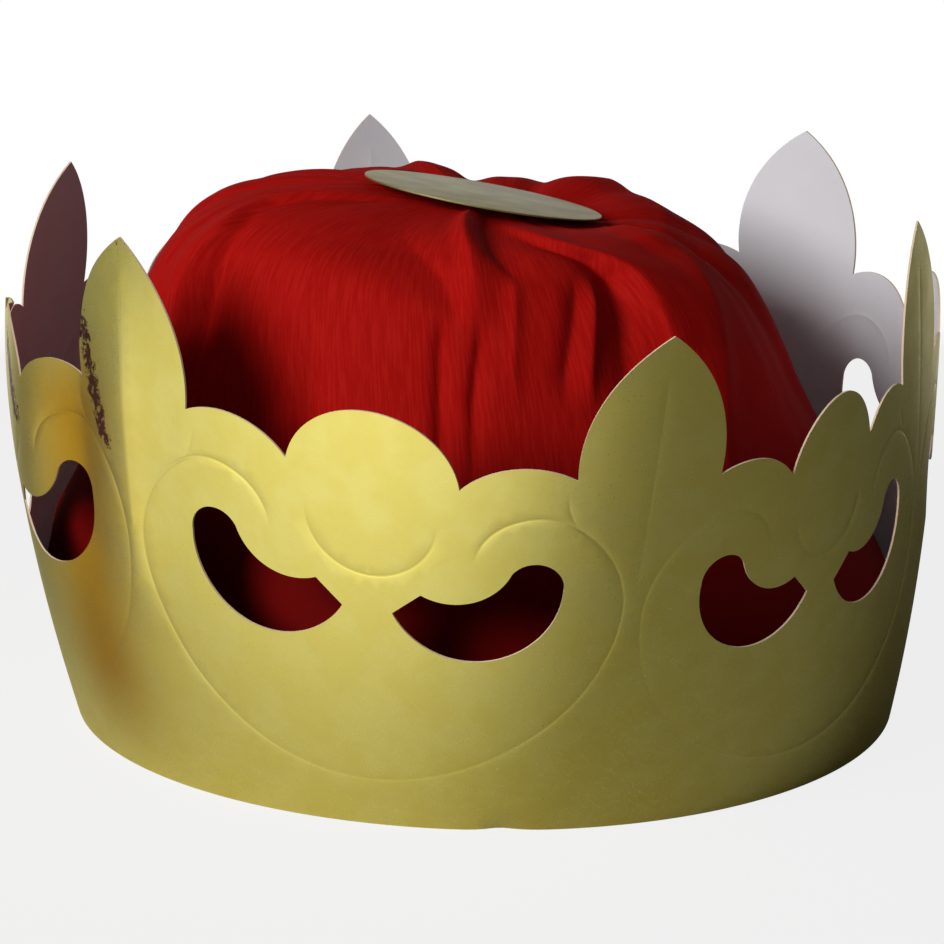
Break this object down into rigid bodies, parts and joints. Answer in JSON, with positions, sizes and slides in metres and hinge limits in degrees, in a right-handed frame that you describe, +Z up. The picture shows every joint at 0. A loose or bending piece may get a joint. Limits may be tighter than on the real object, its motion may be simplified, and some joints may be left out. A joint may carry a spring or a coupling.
{
  "type": "paper crown",
  "caption": "Die-cut gold card crown, a ring band of pointed petals and round lobes with crescent cut-outs, a gathered crepe puff inside and a small tilted card disc on its top.",
  "frame": {"origin": "on the table under the middle of the band's outline", "axes": "+Z up through the crown, -Y towards the front"},
  "size_m": [0.2034, 0.2154, 0.1185],
  "materials": {
    "gold_card": "satin metallic foil on card",
    "red_crepe": "matte crinkled crepe",
    "disc_card": "satin metallic foil on card"
  },
  "bodies": {
    "root": {"crown_band": "gold_card", "crepe_puff": "red_crepe", "top_disc": "disc_card"}
  },
  "joints": []
}
